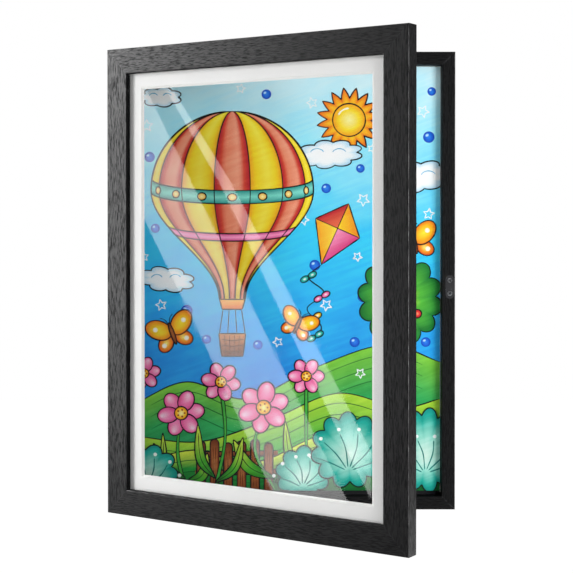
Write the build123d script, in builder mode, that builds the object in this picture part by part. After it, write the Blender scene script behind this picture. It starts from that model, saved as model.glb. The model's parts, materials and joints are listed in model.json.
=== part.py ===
"""A front-opening frame for children's pictures.

A shallow box hangs on the wall and holds a few drawings. A glazed door with a white mat closes it.
The door turns on two butt hinges at its left edge, and a magnet holds it shut.
"""

import os

from build123d import *

os.makedirs("parts", exist_ok=True)

# Lengths are in millimetres and angles in degrees. +X is the viewer's right, +Z is up, and the
# front faces -Y. The origin is on the wall, on the line where the nail carries the upper hanger.

# Drawings, which stand on the bottom rail. The cavity takes A4 sheets with room to spare at their
# sides, so that US letter sheets go in too.
sheet_width = 210.0
sheet_height = 297.0
sheet_side_room = 3.5
sheet_head_room = 4.0
stored_thickness = 6.0  # of the stack behind the drawing on show
show_thickness = 0.3
show_clearance = 0.3  # at its sides and top
show_foot_room = 1.2  # below it, where it leans on the stack

# Box
box_wall = 9.2
art_depth = 7.6  # from the box's front down to the drawing on show
box_ease = 0.5  # radius of the box's front arrises
hang_drop = 19.0  # from the box's upper edge down to the nail

# Back panel, which lies in a rebate at the rear of the box
panel_thickness = 3.0
panel_bearing = 4.0  # width of the rebate
panel_recess = 2.4  # from the wall to the panel
panel_clearance = 0.3

# Door
door_thickness = 10.0
stile_width = 17.6
rebate_width = 5.0
lip_thickness = 3.5
door_ease = 0.8
door_gap = 0.4  # between the closed door and the box
door_open = 33.3  # angle at which the door stands at rest

# Glazing
pane_thickness = 1.0
mat_thickness = 1.5
mat_border = 10.6  # width of the mat that shows inside the door's lip
mat_bevel_angle = 45.0
glazing_clearance = 0.3

# Retaining points: flat steel tongues, driven into the rebate's wall behind the mat
point_width = 6.0
point_thickness = 0.5
point_embed = 5.0
point_reach = 8.0
rail_point_shares = (-0.5, 0.5)
stile_point_shares = (-0.6, 0.0, 0.6)

# Corner nails: steel angles, driven across the mitres from behind
nail_thickness = 0.5
door_nail_inset = 7.5
door_nail_leg = 5.0
door_nail_depth = 6.0
box_nail_inset = 3.9
box_nail_leg = 3.0
box_nail_depth = 8.0

# Staples, which hold the back panel
staple_wire = 0.6
staple_crown = 6.0
staple_leg = 8.0
rail_staple_shares = (-0.55, 0.55)
stile_staple_shares = (-0.7, 0.0, 0.7)

# Butt hinges
hinge_inset = 52.0  # from the upper or lower edge to the middle of a hinge
leaf_length = 25.0
leaf_width = 7.2
leaf_thickness = 0.8
knuckle_radius = 1.6
knuckle_air = 0.2
pin_radius = 0.8
pin_clearance = 0.05
pin_head_radius = 1.2
pin_head_height = 0.5
mortise_air = 0.1
hinge_screw_inset = 4.2
hinge_screw_spacing = 15.0
hinge_screw_length = 7.0
hinge_screw_radius = 0.9
hinge_screw_head_radius = 1.6
hinge_screw_head_height = 0.7

# Catch: a keeper plate on the box and a magnet in the door
keeper_length = 16.4
keeper_width = 6.0
keeper_thickness = 1.0
keeper_margin = 0.7  # from the box's outer edge
keeper_drop = 4.2  # below the middle of the box
keeper_screw_spacing = 9.2
keeper_screw_length = 9.0
keeper_screw_radius = 1.1
keeper_screw_head_radius = 1.65
keeper_screw_head_height = 0.75
keeper_screw_turn = 35.0
magnet_radius = 2.5
magnet_thickness = 2.5

# Cross recess of the screws, as shares of the head's radius and height
recess_length_share = 1.3
recess_width_share = 0.3
recess_depth_share = 0.6

# Sawtooth hangers
hanger_length = 46.0
hanger_height = 9.0
hanger_thickness = 0.8
hanger_rise = 1.2  # from the foot's underside to the bridge's
hanger_foot = 8.0
hanger_joggle = 2.0
tooth_pitch = 3.2
tooth_count = 7
side_hang_drop = 19.0  # from the box's hinge edge in to the nail, hung sideways

# Rivets of the hangers
rivet_radius = 1.0
rivet_head_radius = 2.1
rivet_head_height = 0.6
rivet_tail_radius = 2.0
rivet_tail_height = 0.5

cut_overrun = 1.0

# Sizes that follow
cavity_width = sheet_width + 2 * sheet_side_room
cavity_height = sheet_height + sheet_head_room
outer_width = cavity_width + 2 * box_wall
outer_height = cavity_height + 2 * box_wall
panel_front = panel_recess + panel_thickness
show_back = panel_front + stored_thickness
box_depth = show_back + show_thickness + art_depth
centre_height = hang_drop - outer_height / 2
rebate_wall = stile_width - rebate_width
pane_level = door_thickness - lip_thickness - pane_thickness
mat_level = pane_level - mat_thickness
glazing_width = outer_width - 2 * (rebate_wall + glazing_clearance)
glazing_height = outer_height - 2 * (rebate_wall + glazing_clearance)
window_width = outer_width - 2 * (stile_width + mat_border)
window_height = outer_height - 2 * (stile_width + mat_border)
tooth_depth = tooth_pitch / 2  # the teeth are cut at 45 degrees
axis_stand = knuckle_radius + knuckle_air
hinge_height = outer_height / 2 - hinge_inset
knuckle_length = (leaf_length - 2 * knuckle_air) / 3
knuckle_step = knuckle_length + knuckle_air
keeper_x = outer_width / 2 - keeper_margin - keeper_width / 2
keeper_y = -keeper_drop

# Faces, with x to the right, y up and z out towards the viewer, from the middle of the frame
box_back = Plane(origin=(0, 0, centre_height), x_dir=(1, 0, 0), z_dir=(0, -1, 0))
box_front = box_back.offset(box_depth)
hinge_origin = box_front.from_local_coords((-outer_width / 2 - axis_stand, 0, door_gap / 2))
hinge_axes = Plane(hinge_origin, x_dir=box_back.x_dir, z_dir=box_back.z_dir)
door_axes = Plane(hinge_axes.location * Rotation(0, -door_open, 0))
door_origin = door_axes.from_local_coords((axis_stand + outer_width / 2, 0, door_gap / 2))
door_back = Plane(door_origin, x_dir=door_axes.x_dir, z_dir=door_axes.z_dir)
door_rear = Plane(door_origin, x_dir=-door_axes.x_dir, z_dir=-door_axes.z_dir)


def turned(face, angle):
    """A face's plane, turned on the spot."""
    return Plane(face.location * Rotation(0, 0, angle))


def finish(piece, name):
    """Name a finished piece and write it."""
    piece.part.label = name
    export_step(piece.part, f"parts/{name}.step")


def four_sides(face):
    """Each member's name, a plane turned so that the member is on top, half its length, and how
    far its outer edge is from the middle."""
    across, up = outer_width / 2, outer_height / 2
    return [
        ("rail_top", face, across, up),
        ("stile_hinge", turned(face, 90), up, across),
        ("rail_bottom", turned(face, 180), across, up),
        ("stile_latch", turned(face, 270), up, across),
    ]


def section_plane(side, edge):
    """The plane of a member's section: x inwards from its outer edge, y out from its back."""
    return Plane(side.from_local_coords((0, edge, 0)), x_dir=-side.y_dir, z_dir=-side.x_dir)


def trim_mitres(side, half_length, edge, width, depth):
    """Trim the member that is being built to a mitre at each end."""
    reach = width + cut_overrun
    with BuildSketch(side.offset(-cut_overrun)) as outline:
        with BuildLine():
            Polyline(
                (-half_length - cut_overrun, edge + cut_overrun),
                (half_length + cut_overrun, edge + cut_overrun),
                (half_length - reach, edge - reach),
                (reach - half_length, edge - reach),
                close=True,
            )
        make_face()
    extrude(outline.sketch, amount=depth + 2 * cut_overrun, mode=Mode.INTERSECT)


def corner_angles(face, inset, leg, depth, mode=Mode.ADD):
    """A steel angle across each mitre, from a face inwards, or the slots for them."""
    across, up = outer_width / 2 - inset, outer_height / 2 - inset
    corners = [(-across, -up, 0), (across, -up, 90), (across, up, 180), (-across, up, 270)]
    with BuildSketch(face) as angles:
        with Locations(*[Location((x, y, 0), (0, 0, turn)) for x, y, turn in corners]):
            Rectangle(leg, nail_thickness, align=(Align.MAX, Align.CENTER))
            Rectangle(nail_thickness, leg, align=(Align.CENTER, Align.MAX))
    extrude(angles.sketch, amount=depth, mode=mode)


def shares_for(name, rail_shares, stile_shares):
    """Places along a member, as shares of half its length."""
    return stile_shares if name.startswith("stile") else rail_shares


def points_on(name, side, half_length, edge, mode=Mode.ADD):
    """The retaining points of one member, or the slots for them."""
    shares = shares_for(name, rail_point_shares, stile_point_shares)
    with BuildSketch(side.offset(mat_level - point_thickness)) as tongues:
        with Locations(*[(half_length * share, edge - rebate_wall + point_embed) for share in shares]):
            Rectangle(point_width, point_embed + point_reach, align=(Align.CENTER, Align.MAX))
    extrude(tongues.sketch, amount=point_thickness, mode=mode)


def staple_places(name, half_length, edge):
    """The middle of each staple along one member."""
    shares = shares_for(name, rail_staple_shares, stile_staple_shares)
    return [(half_length * share, edge - box_wall + panel_bearing / 2) for share in shares]


def staple_legs_on(name, side, half_length, edge, mode=Mode.ADD):
    """The legs of the staples along one member, or the slots for them."""
    with BuildSketch(side.offset(panel_recess - staple_wire)) as legs:
        with Locations(*staple_places(name, half_length, edge)):
            with GridLocations(staple_crown - staple_wire, 0, 2, 1):
                Rectangle(staple_wire, staple_wire)
    extrude(legs.sketch, amount=staple_wire + staple_leg, mode=mode)


# How round pieces stand on their places: hanging from them or rising from them
top_middle = (Align.CENTER, Align.CENTER, Align.MAX)
bottom_middle = (Align.CENTER, Align.CENTER, Align.MIN)


def on_face(face, places):
    """Locations on a face, from places with a turn each, whose height points out of it."""
    return [face.location * Location((x, y, 0), (0, 0, turn)) for x, y, turn in places]


def screw_bodies(spots, radius, head_radius, head_height, length, mode=Mode.ADD):
    """Countersunk screws with their heads flush, or the holes for them."""
    with Locations(*spots):
        Cone(radius, head_radius, head_height, align=top_middle, mode=mode)
        Cylinder(radius, length, align=top_middle, mode=mode)


def cross_recesses(spots, head_radius, head_height):
    """A cross recess in the head of each screw that is being built."""
    long = head_radius * recess_length_share
    narrow = head_radius * recess_width_share
    deep = head_height * recess_depth_share
    with Locations(*spots):
        Box(long, narrow, deep, align=top_middle, mode=Mode.SUBTRACT)
        Box(narrow, long, deep, align=top_middle, mode=Mode.SUBTRACT)


# Hinges. A leaf's plane has x from the axis into the frame and z into the leaf's own timber.
hinge_heights = {"upper": hinge_height, "lower": -hinge_height}
hinge_screw = (hinge_screw_radius, hinge_screw_head_radius, hinge_screw_head_height)


def leaf_plane(owner, height):
    """The plane of a leaf that is screwed to the box or to the door."""
    if owner == "door":
        return Plane(
            door_axes.from_local_coords((0, height, 0)), x_dir=door_axes.x_dir, z_dir=door_axes.z_dir
        )
    return Plane(
        hinge_axes.from_local_coords((0, height, 0)), x_dir=hinge_axes.x_dir, z_dir=-hinge_axes.z_dir
    )


def leaf_screw_spots(owner):
    """Where the screws of both leaves on the box or on the door go, in the leaves' open face."""
    spots = []
    for height in hinge_heights.values():
        plane = leaf_plane(owner, height)
        face = Plane(
            plane.from_local_coords((axis_stand + hinge_screw_inset, 0, door_gap / 2)),
            x_dir=plane.x_dir,
            z_dir=-plane.z_dir,
        )
        half = hinge_screw_spacing / 2
        spots += on_face(face, [(0, -half, 0), (0, half, 0)])
    return spots


def leaf_mortises(owner):
    """Sink both leaves flush into the stile that is being built, and drill for their screws."""
    for height in hinge_heights.values():
        with BuildSketch(leaf_plane(owner, height).offset(door_gap / 2 - cut_overrun)) as recess:
            with Locations((axis_stand - cut_overrun, 0)):
                Rectangle(
                    cut_overrun + leaf_width + mortise_air,
                    leaf_length + 2 * mortise_air,
                    align=(Align.MIN, Align.CENTER),
                )
        extrude(recess.sketch, amount=cut_overrun + leaf_thickness, mode=Mode.SUBTRACT)
    screw_bodies(leaf_screw_spots(owner), *hinge_screw, hinge_screw_length, mode=Mode.SUBTRACT)


def barrel(plane, start, length, radius, mode=Mode.ADD):
    """A round length along a hinge's axis, from a height above the hinge's middle."""
    foot = plane.from_local_coords((0, start, 0))
    with BuildSketch(Plane(foot, x_dir=plane.x_dir, z_dir=plane.y_dir)) as disc:
        Circle(radius)
    extrude(disc.sketch, amount=length, mode=mode)


# Catch places: the keeper's screws in the box's front, and the magnet behind the door
keeper_half = keeper_screw_spacing / 2
keeper_spots = on_face(
    box_front,
    [
        (keeper_x, keeper_y + keeper_half, keeper_screw_turn),
        (keeper_x, keeper_y - keeper_half, -keeper_screw_turn),
    ],
)
keeper_screw = (keeper_screw_radius, keeper_screw_head_radius, keeper_screw_head_height)
magnet_spots = on_face(door_rear, [(-keeper_x, keeper_y, 0)])


def keeper_blank(mode=Mode.ADD):
    """The keeper plate without its holes, or the recess for it."""
    with BuildSketch(box_front) as outline:
        with Locations((keeper_x, keeper_y)):
            SlotOverall(keeper_length, keeper_width, rotation=90)
    extrude(outline.sketch, amount=-keeper_thickness, mode=mode)


def magnet_disc(mode=Mode.ADD):
    """The magnet, flush with the back of the door, or the hole for it."""
    with Locations(*magnet_spots):
        Cylinder(magnet_radius, magnet_thickness, align=top_middle, mode=mode)


# Box members: a square section with a rebate for the back panel
for name, side, half_length, edge in four_sides(box_back):
    with BuildPart() as member:
        with BuildSketch(section_plane(side, edge)) as section:
            Rectangle(box_wall, box_depth, align=(Align.MIN, Align.MIN))
            with Locations((box_wall, 0)):
                Rectangle(panel_bearing, panel_front, align=(Align.MAX, Align.MIN), mode=Mode.SUBTRACT)
            fillet(section.vertices().group_by(Axis.Y)[-1], radius=box_ease)
        extrude(amount=half_length, both=True)
        trim_mitres(side, half_length, edge, box_wall, box_depth)
        corner_angles(box_back, box_nail_inset, box_nail_leg, box_nail_depth, mode=Mode.SUBTRACT)
        staple_legs_on(name, side, half_length, edge, mode=Mode.SUBTRACT)
        if name == "stile_hinge":
            leaf_mortises("box")
        if name == "stile_latch":
            keeper_blank(mode=Mode.SUBTRACT)
            screw_bodies(keeper_spots, *keeper_screw, keeper_screw_length, mode=Mode.SUBTRACT)
    finish(member, f"box_{name}")

with BuildPart() as box_corner_nails:
    corner_angles(box_back, box_nail_inset, box_nail_leg, box_nail_depth)
finish(box_corner_nails, "box_corner_nails")

# Hangers. Their planes have the nail at the origin and y up as the frame hangs from them.
hang_upright = box_back.from_local_coords((0, outer_height / 2 - hang_drop, panel_recess))
hang_sideways = box_back.from_local_coords((side_hang_drop - outer_width / 2, 0, panel_recess))
hangers = {
    "hanger_upright": Plane(hang_upright, x_dir=(-1, 0, 0), z_dir=(0, 1, 0)),
    "hanger_sideways": Plane(hang_sideways, x_dir=(0, 0, -1), z_dir=(0, 1, 0)),
}
rivet_reach = hanger_length / 2 - hanger_foot / 2
rivet_height = hanger_height / 2 - tooth_depth
rivet_places = [(-rivet_reach, rivet_height, 0), (rivet_reach, rivet_height, 0)]

with BuildPart() as back_panel:
    with BuildSketch(box_back.offset(panel_recess)):
        Rectangle(
            outer_width - 2 * (box_wall - panel_bearing + panel_clearance),
            outer_height - 2 * (box_wall - panel_bearing + panel_clearance),
        )
    extrude(amount=panel_thickness)
    for name, side, half_length, edge in four_sides(box_back):
        staple_legs_on(name, side, half_length, edge, mode=Mode.SUBTRACT)
    for plane in hangers.values():
        with Locations(*on_face(plane, rivet_places)):
            Cylinder(rivet_radius, panel_thickness, align=top_middle, mode=Mode.SUBTRACT)
        with Locations(*on_face(plane.offset(-panel_thickness), rivet_places)):
            Cylinder(rivet_tail_radius, rivet_tail_height, align=bottom_middle, mode=Mode.SUBTRACT)
finish(back_panel, "back_panel")

with BuildPart() as back_panel_staples:
    for name, side, half_length, edge in four_sides(box_back):
        staple_legs_on(name, side, half_length, edge)
        with BuildSketch(side.offset(panel_recess - staple_wire)):
            with Locations(*staple_places(name, half_length, edge)):
                Rectangle(staple_crown, staple_wire)
        extrude(amount=staple_wire)
finish(back_panel_staples, "back_panel_staples")

for name, plane in hangers.items():
    with BuildPart() as hanger:
        # The strip seen from above: a foot at each end and a raised bridge between them
        half = hanger_length / 2
        bend = half - hanger_foot
        bridge = bend - hanger_joggle
        rise = hanger_rise
        under = [(-half, 0), (-bend, 0), (-bridge, rise), (bridge, rise), (bend, 0), (half, 0)]
        over = [(x, y + hanger_thickness) for x, y in reversed(under)]
        foot = plane.from_local_coords((0, -tooth_depth, 0))
        with BuildSketch(Plane(foot, x_dir=-plane.x_dir, z_dir=plane.y_dir)):
            with BuildLine():
                Polyline(*under, *over, close=True)
            make_face()
        extrude(amount=hanger_height)
        # Teeth along the lower edge of the bridge, with a notch in the middle
        with BuildSketch(plane):
            with Locations((0, -tooth_depth)):
                with GridLocations(tooth_pitch, 0, tooth_count, 1):
                    Triangle(a=tooth_pitch, B=45, C=45, align=(Align.CENTER, Align.MIN))
        extrude(amount=hanger_rise + hanger_thickness + cut_overrun, mode=Mode.SUBTRACT)
        with Locations(*on_face(plane, rivet_places)):
            Cylinder(rivet_radius, hanger_thickness, align=bottom_middle, mode=Mode.SUBTRACT)
    finish(hanger, name)

with BuildPart() as hanger_rivets:
    for plane in hangers.values():
        with Locations(*on_face(plane.offset(hanger_thickness), rivet_places)):
            Cone(rivet_head_radius, rivet_radius, rivet_head_height, align=bottom_middle)
            Cylinder(rivet_radius, hanger_thickness + panel_thickness, align=top_middle)
        with Locations(*on_face(plane.offset(-panel_thickness), rivet_places)):
            Cylinder(rivet_tail_radius, rivet_tail_height, align=bottom_middle)
finish(hanger_rivets, "hanger_rivets")

# Drawings
cavity_floor = -cavity_height / 2
with BuildPart() as stored_drawings:
    with BuildSketch(box_back.offset(panel_front)):
        with Locations((0, cavity_floor)):
            Rectangle(sheet_width, sheet_height, align=(Align.CENTER, Align.MIN))
    extrude(amount=stored_thickness)
finish(stored_drawings, "stored_drawings")

with BuildPart() as drawing_on_show:
    with BuildSketch(box_back.offset(show_back)):
        with Locations((0, cavity_floor + show_foot_room)):
            Rectangle(
                cavity_width - 2 * show_clearance,
                cavity_height - show_foot_room - show_clearance,
                align=(Align.CENTER, Align.MIN),
            )
    extrude(amount=show_thickness)
finish(drawing_on_show, "drawing_on_show")

# Catch
with BuildPart() as keeper_plate:
    keeper_blank()
    screw_bodies(keeper_spots, *keeper_screw, keeper_screw_length, mode=Mode.SUBTRACT)
finish(keeper_plate, "keeper_plate")

with BuildPart() as keeper_screws:
    screw_bodies(keeper_spots, *keeper_screw, keeper_screw_length)
    cross_recesses(keeper_spots, keeper_screw_head_radius, keeper_screw_head_height)
finish(keeper_screws, "keeper_screws")

with BuildPart() as door_magnet:
    magnet_disc()
finish(door_magnet, "door_magnet")

# Door members: a square section with a lip in front of the glazing
for name, side, half_length, edge in four_sides(door_back):
    with BuildPart() as member:
        with BuildSketch(section_plane(side, edge)) as section:
            Rectangle(stile_width, door_thickness, align=(Align.MIN, Align.MIN))
            with Locations((stile_width, 0)):
                Rectangle(
                    rebate_width,
                    door_thickness - lip_thickness,
                    align=(Align.MAX, Align.MIN),
                    mode=Mode.SUBTRACT,
                )
            fillet(section.vertices().group_by(Axis.Y)[-1], radius=door_ease)
        extrude(amount=half_length, both=True)
        trim_mitres(side, half_length, edge, stile_width, door_thickness)
        corner_angles(door_back, door_nail_inset, door_nail_leg, door_nail_depth, mode=Mode.SUBTRACT)
        points_on(name, side, half_length, edge, mode=Mode.SUBTRACT)
        if name == "stile_hinge":
            leaf_mortises("door")
        if name == "stile_latch":
            magnet_disc(mode=Mode.SUBTRACT)
    finish(member, f"door_{name}")

with BuildPart() as door_corner_nails:
    corner_angles(door_back, door_nail_inset, door_nail_leg, door_nail_depth)
finish(door_corner_nails, "door_corner_nails")

with BuildPart() as retaining_points:
    for name, side, half_length, edge in four_sides(door_back):
        points_on(name, side, half_length, edge)
finish(retaining_points, "retaining_points")

with BuildPart() as acrylic_pane:
    with BuildSketch(door_back.offset(pane_level)):
        Rectangle(glazing_width, glazing_height)
    extrude(amount=pane_thickness)
finish(acrylic_pane, "acrylic_pane")

with BuildPart() as mat:
    with BuildSketch(door_back.offset(mat_level)):
        Rectangle(glazing_width, glazing_height)
    extrude(amount=mat_thickness)
    with BuildSketch(door_back.offset(mat_level)):
        Rectangle(window_width, window_height)
    extrude(amount=mat_thickness, taper=-mat_bevel_angle, mode=Mode.SUBTRACT)
finish(mat, "mat")

# Hinge leaves and pins
low_knuckle = -leaf_length / 2
knuckle_starts = {
    "box": [low_knuckle, low_knuckle + 2 * knuckle_step],
    "door": [low_knuckle + knuckle_step],
}
for which, height in hinge_heights.items():
    for owner, other in (("box", "door"), ("door", "box")):
        plane = leaf_plane(owner, height)
        with BuildPart() as leaf:
            with BuildSketch(plane.offset(door_gap / 2)):
                Rectangle(axis_stand + leaf_width, leaf_length, align=(Align.MIN, Align.CENTER))
            extrude(amount=leaf_thickness)
            for start in knuckle_starts[other]:
                notch_length = knuckle_length + 2 * knuckle_air
                notch_radius = knuckle_radius + knuckle_air
                barrel(plane, start - knuckle_air, notch_length, notch_radius, mode=Mode.SUBTRACT)
            for start in knuckle_starts[owner]:
                barrel(plane, start, knuckle_length, knuckle_radius)
            barrel(plane, low_knuckle, leaf_length, pin_radius + pin_clearance, mode=Mode.SUBTRACT)
            screw_bodies(leaf_screw_spots(owner), *hinge_screw, hinge_screw_length, mode=Mode.SUBTRACT)
        finish(leaf, f"{which}_hinge_{owner}_leaf")

    with BuildPart() as pin:
        plane = leaf_plane("box", height)
        barrel(plane, low_knuckle, leaf_length, pin_radius)
        barrel(plane, low_knuckle - pin_head_height, pin_head_height, pin_head_radius)
        barrel(plane, leaf_length / 2, pin_head_height, pin_head_radius)
    finish(pin, f"{which}_hinge_pin")

for owner in ("box", "door"):
    with BuildPart() as screws:
        screw_bodies(leaf_screw_spots(owner), *hinge_screw, hinge_screw_length)
        cross_recesses(leaf_screw_spots(owner), hinge_screw_head_radius, hinge_screw_head_height)
    finish(screws, f"hinge_screws_{owner}")
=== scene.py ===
"""A front-opening frame for children's pictures: its finishes, the picture in it and the studio.

The shapes come packed from the CAD model. This script gives each of them its material, paints the
picture on the drawing on show, and sets the floor, the lamps and the camera. Lengths are in metres,
and the sheet's own drawing is in millimetres.
"""

import json
import math

import bmesh
import bpy
import numpy as np
from mathutils import Euler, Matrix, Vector


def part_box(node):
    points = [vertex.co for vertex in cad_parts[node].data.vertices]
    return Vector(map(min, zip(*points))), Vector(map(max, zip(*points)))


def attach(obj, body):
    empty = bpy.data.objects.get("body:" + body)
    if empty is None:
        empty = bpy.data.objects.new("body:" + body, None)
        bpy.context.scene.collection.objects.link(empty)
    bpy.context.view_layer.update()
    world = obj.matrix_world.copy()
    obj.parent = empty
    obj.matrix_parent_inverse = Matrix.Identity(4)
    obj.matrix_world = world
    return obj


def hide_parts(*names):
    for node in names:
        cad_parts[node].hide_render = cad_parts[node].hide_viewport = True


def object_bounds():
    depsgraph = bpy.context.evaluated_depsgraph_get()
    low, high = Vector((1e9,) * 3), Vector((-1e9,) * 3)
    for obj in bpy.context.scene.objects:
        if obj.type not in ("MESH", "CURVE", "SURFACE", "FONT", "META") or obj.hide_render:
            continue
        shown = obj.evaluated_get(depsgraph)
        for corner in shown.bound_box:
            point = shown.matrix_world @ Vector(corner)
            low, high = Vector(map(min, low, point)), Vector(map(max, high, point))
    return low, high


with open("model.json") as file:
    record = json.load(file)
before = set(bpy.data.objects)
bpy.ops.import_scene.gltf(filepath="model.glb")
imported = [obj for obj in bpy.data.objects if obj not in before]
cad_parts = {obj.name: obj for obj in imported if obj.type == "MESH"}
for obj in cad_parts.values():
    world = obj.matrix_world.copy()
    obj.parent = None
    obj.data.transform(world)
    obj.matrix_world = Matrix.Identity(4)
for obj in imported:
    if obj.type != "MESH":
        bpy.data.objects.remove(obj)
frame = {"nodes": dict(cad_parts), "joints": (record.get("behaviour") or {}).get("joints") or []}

cad_low, cad_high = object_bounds()
nodes = frame["nodes"]
MM = 0.001
sides = ("rail_top", "rail_bottom", "stile_hinge", "stile_latch")


# Where the two mitred frames lie

def points_of(names):
    """The corners of some nodes' meshes as one array."""
    return np.array([corner.co for name in names for corner in nodes[name].data.vertices])


def turned_back(points, turn):
    """Points turned about Z by minus an angle: x' = x cos a + y sin a, y' = y cos a - x sin a."""
    x, y, z = points.T
    cosine, sine = math.cos(turn), math.sin(turn)
    return np.column_stack((x * cosine + y * sine, y * cosine - x * sine, z))


def lie_of(body, turn, mitre_line):
    """A mitred frame's lie: the middle of its front, its turn about Z, half its width and height, how
    wide its members' faces are, and how clearly the line at its mitres shows, from 0 to 1."""
    seen = turned_back(points_of([f"{body}_{side}" for side in sides]), turn)
    low, high = seen.min(0), seen.max(0)
    middle = np.array(((low[0] + high[0]) / 2, low[1], (low[2] + high[2]) / 2))
    stile = turned_back(points_of([f"{body}_stile_latch"]), turn)[:, 0]
    return {
        "origin": Vector(turned_back(middle[None], -turn)[0]),
        "turn": turn,
        "across": (high[0] - low[0]) / 2,
        "up": (high[2] - low[2]) / 2,
        "face": stile.max() - stile.min(),
        "mitre_line": mitre_line,
    }


door_turn = math.radians(frame["joints"][0]["range_deg"][0])
box_lie = lie_of("box", 0.0, 0.7)
door_lie = lie_of("door", door_turn, 0.3)
door_front = Vector((math.sin(door_turn), -math.cos(door_turn), 0.0))


# Pieces and shader nodes

def piece_of(name, points, faces, material):
    """A new piece from its corners and faces. It stands at the origin, with its place in its mesh."""
    mesh = bpy.data.meshes.new(name)
    mesh.from_pydata(points, [], faces)
    mesh.materials.append(material)
    piece = bpy.data.objects.new(name, mesh)
    bpy.context.scene.collection.objects.link(piece)
    return piece


def linear(colour):
    """An sRGB colour such as "#1b1b1d" as the linear RGBA that shaders take."""
    values = np.array([int(colour[i : i + 2], 16) for i in (1, 3, 5)]) / 255
    low, high = values / 12.92, ((values + 0.055) / 1.055) ** 2.4
    return (*np.where(values <= 0.04045, low, high), 1.0)


def add(tree, kind, inputs=(), output=None, stops=(), **settings):
    """Add a shader node with its settings. Its inputs get values, colours as they are written, or
    links from sockets, by name or in order. Returns the output asked for, or else the first in use."""
    made = tree.nodes.new("ShaderNode" + kind)
    for name, value in settings.items():
        setattr(made, name, value)
    while stops and len(made.color_ramp.elements) < len(stops):
        made.color_ramp.elements.new(0.5)
    for index, (place, colour) in enumerate(stops):
        made.color_ramp.elements[index].position = place
        made.color_ramp.elements[index].color = linear(colour)
    takes = [socket for socket in made.inputs if socket.enabled]
    named = inputs if isinstance(inputs, dict) else dict(enumerate(inputs))
    for place, value in named.items():
        socket = takes[place] if isinstance(place, int) else made.inputs[place]
        if isinstance(value, bpy.types.NodeSocket):
            tree.links.new(value, socket)
        else:
            socket.default_value = linear(value) if isinstance(value, str) else value
    gives = [socket for socket in made.outputs if socket.enabled]
    return made.outputs[output] if output else next(iter(gives), None)


def finish_of(name, recipe, *given):
    """A new material. Its recipe makes the surface's shader in its empty node tree."""
    material = bpy.data.materials.new(name)
    material.use_nodes = True
    tree = material.node_tree
    tree.nodes.clear()
    add(tree, "OutputMaterial", {"Surface": recipe(tree, *given)})
    return material


smooth = {"interpolation_type": "SMOOTHSTEP"}
in_colour = {"data_type": "RGBA"}
inverse = {"vector_type": "TEXTURE"}


def local(tree, lie):
    """Object coordinates seen from a mitred frame: x across, y in from its front, z up."""
    here = add(tree, "TexCoord", output="Object")
    turn = Euler((0, 0, lie["turn"]))
    return add(tree, "Mapping", {"Vector": here, "Location": lie["origin"], "Rotation": turn}, **inverse)


# Materials

def black_woodgrain(tree, lie, along_rail, shift):
    """Black decor foil, embossed as open-pored ash, wrapped round fibreboard.

    The eye gets a satin black with short dull pores along the member, slow lighter bands, and a thin
    grey line where the foil has been cut at the mitres and rubbed on its outer arris. The side that
    faces the opening is plain matt black. The pores are drawn 0.4 mm wide, a little coarser than real
    ones, so that they show. The shift sets where in the pattern a member starts.
    """
    here = local(tree, lie)
    noise = {"Detail": 3.0, "Roughness": 0.6, "Scale": 1.0, "Distortion": 0.15}
    drawn = []
    for length, width in ((5.5 * MM, 0.43 * MM), (90 * MM, 3.4 * MM)):
        size = (length, width, width) if along_rail else (width, width, length)
        spot = {"Vector": here, "Location": (shift, shift / 2, shift / 3), "Scale": size}
        drawn.append(add(tree, "TexNoise", {"Vector": add(tree, "Mapping", spot, **inverse), **noise}))
    streaks, bands = drawn
    pores = add(tree, "MapRange", (streaks, 0.40, 0.56, 1.0, 0.0), **smooth)
    ridges = add(tree, "MapRange", (streaks, 0.54, 0.72), **smooth)

    reach = add(tree, "VectorMath", (here,), operation="ABSOLUTE")
    inward = add(tree, "VectorMath", ((lie["across"], 0.0, lie["up"]), reach), operation="SUBTRACT")
    from_side, from_end = (add(tree, "SeparateXYZ", (inward,), axis) for axis in "XZ")
    depth = add(tree, "SeparateXYZ", (here,), "Y")
    past_mitre = add(tree, "Math", (from_side, from_end), operation="SUBTRACT")
    off_mitre = add(tree, "Math", (past_mitre,), operation="ABSOLUTE")
    from_edge = add(tree, "Math", (from_side, from_end), operation="MINIMUM")
    off_arris = add(tree, "Math", (from_edge, depth), operation="MAXIMUM")
    cut = add(tree, "MapRange", (off_mitre, 0.15 * MM, 0.75 * MM, lie["mitre_line"], 0.0), **smooth)
    rubbed = add(tree, "MapRange", (off_arris, 0.2 * MM, 0.9 * MM, 0.42, 0.0), **smooth)
    bare = add(tree, "Math", (cut, rubbed), operation="MAXIMUM")
    patches = add(tree, "TexNoise", {"Vector": here, "Scale": 1 / (4 * MM), "Detail": 2.0})
    worn_here = add(tree, "MapRange", (patches, 0.38, 0.62, 0.0, 0.5), **smooth)
    worn = add(tree, "Math", (bare, worn_here), operation="MULTIPLY")
    inner_edge = lie["face"] - 0.5 * MM
    plain = add(tree, "MapRange", (from_edge, inner_edge, inner_edge + 0.4 * MM), **smooth)

    colour = "#0f0f10"
    tints = (
        (bands, "#111112"), (ridges, "#101011"), (pores, "#0e0e0f"), (worn, "#5a5a5c"),
        (plain, "#0c0c0d"),
    )
    for share, tint in tints:
        colour = add(tree, "Mix", (share, colour, tint), **in_colour)
    pore_shine = add(tree, "MapRange", (pores, 0.0, 1.0, 0.56, 0.12))
    return add(tree, "BsdfPrincipled", {
        "Base Color": colour,
        "Roughness": add(tree, "MapRange", (pores, 0.0, 1.0, 0.34, 0.5)),
        "Specular IOR Level": add(tree, "MapRange", (plain, 0.0, 1.0, pore_shine, 0.05)),
        "Normal": add(tree, "Bump", {"Height": streaks, "Strength": 0.5, "Distance": 0.1 * MM}),
    })


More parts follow.
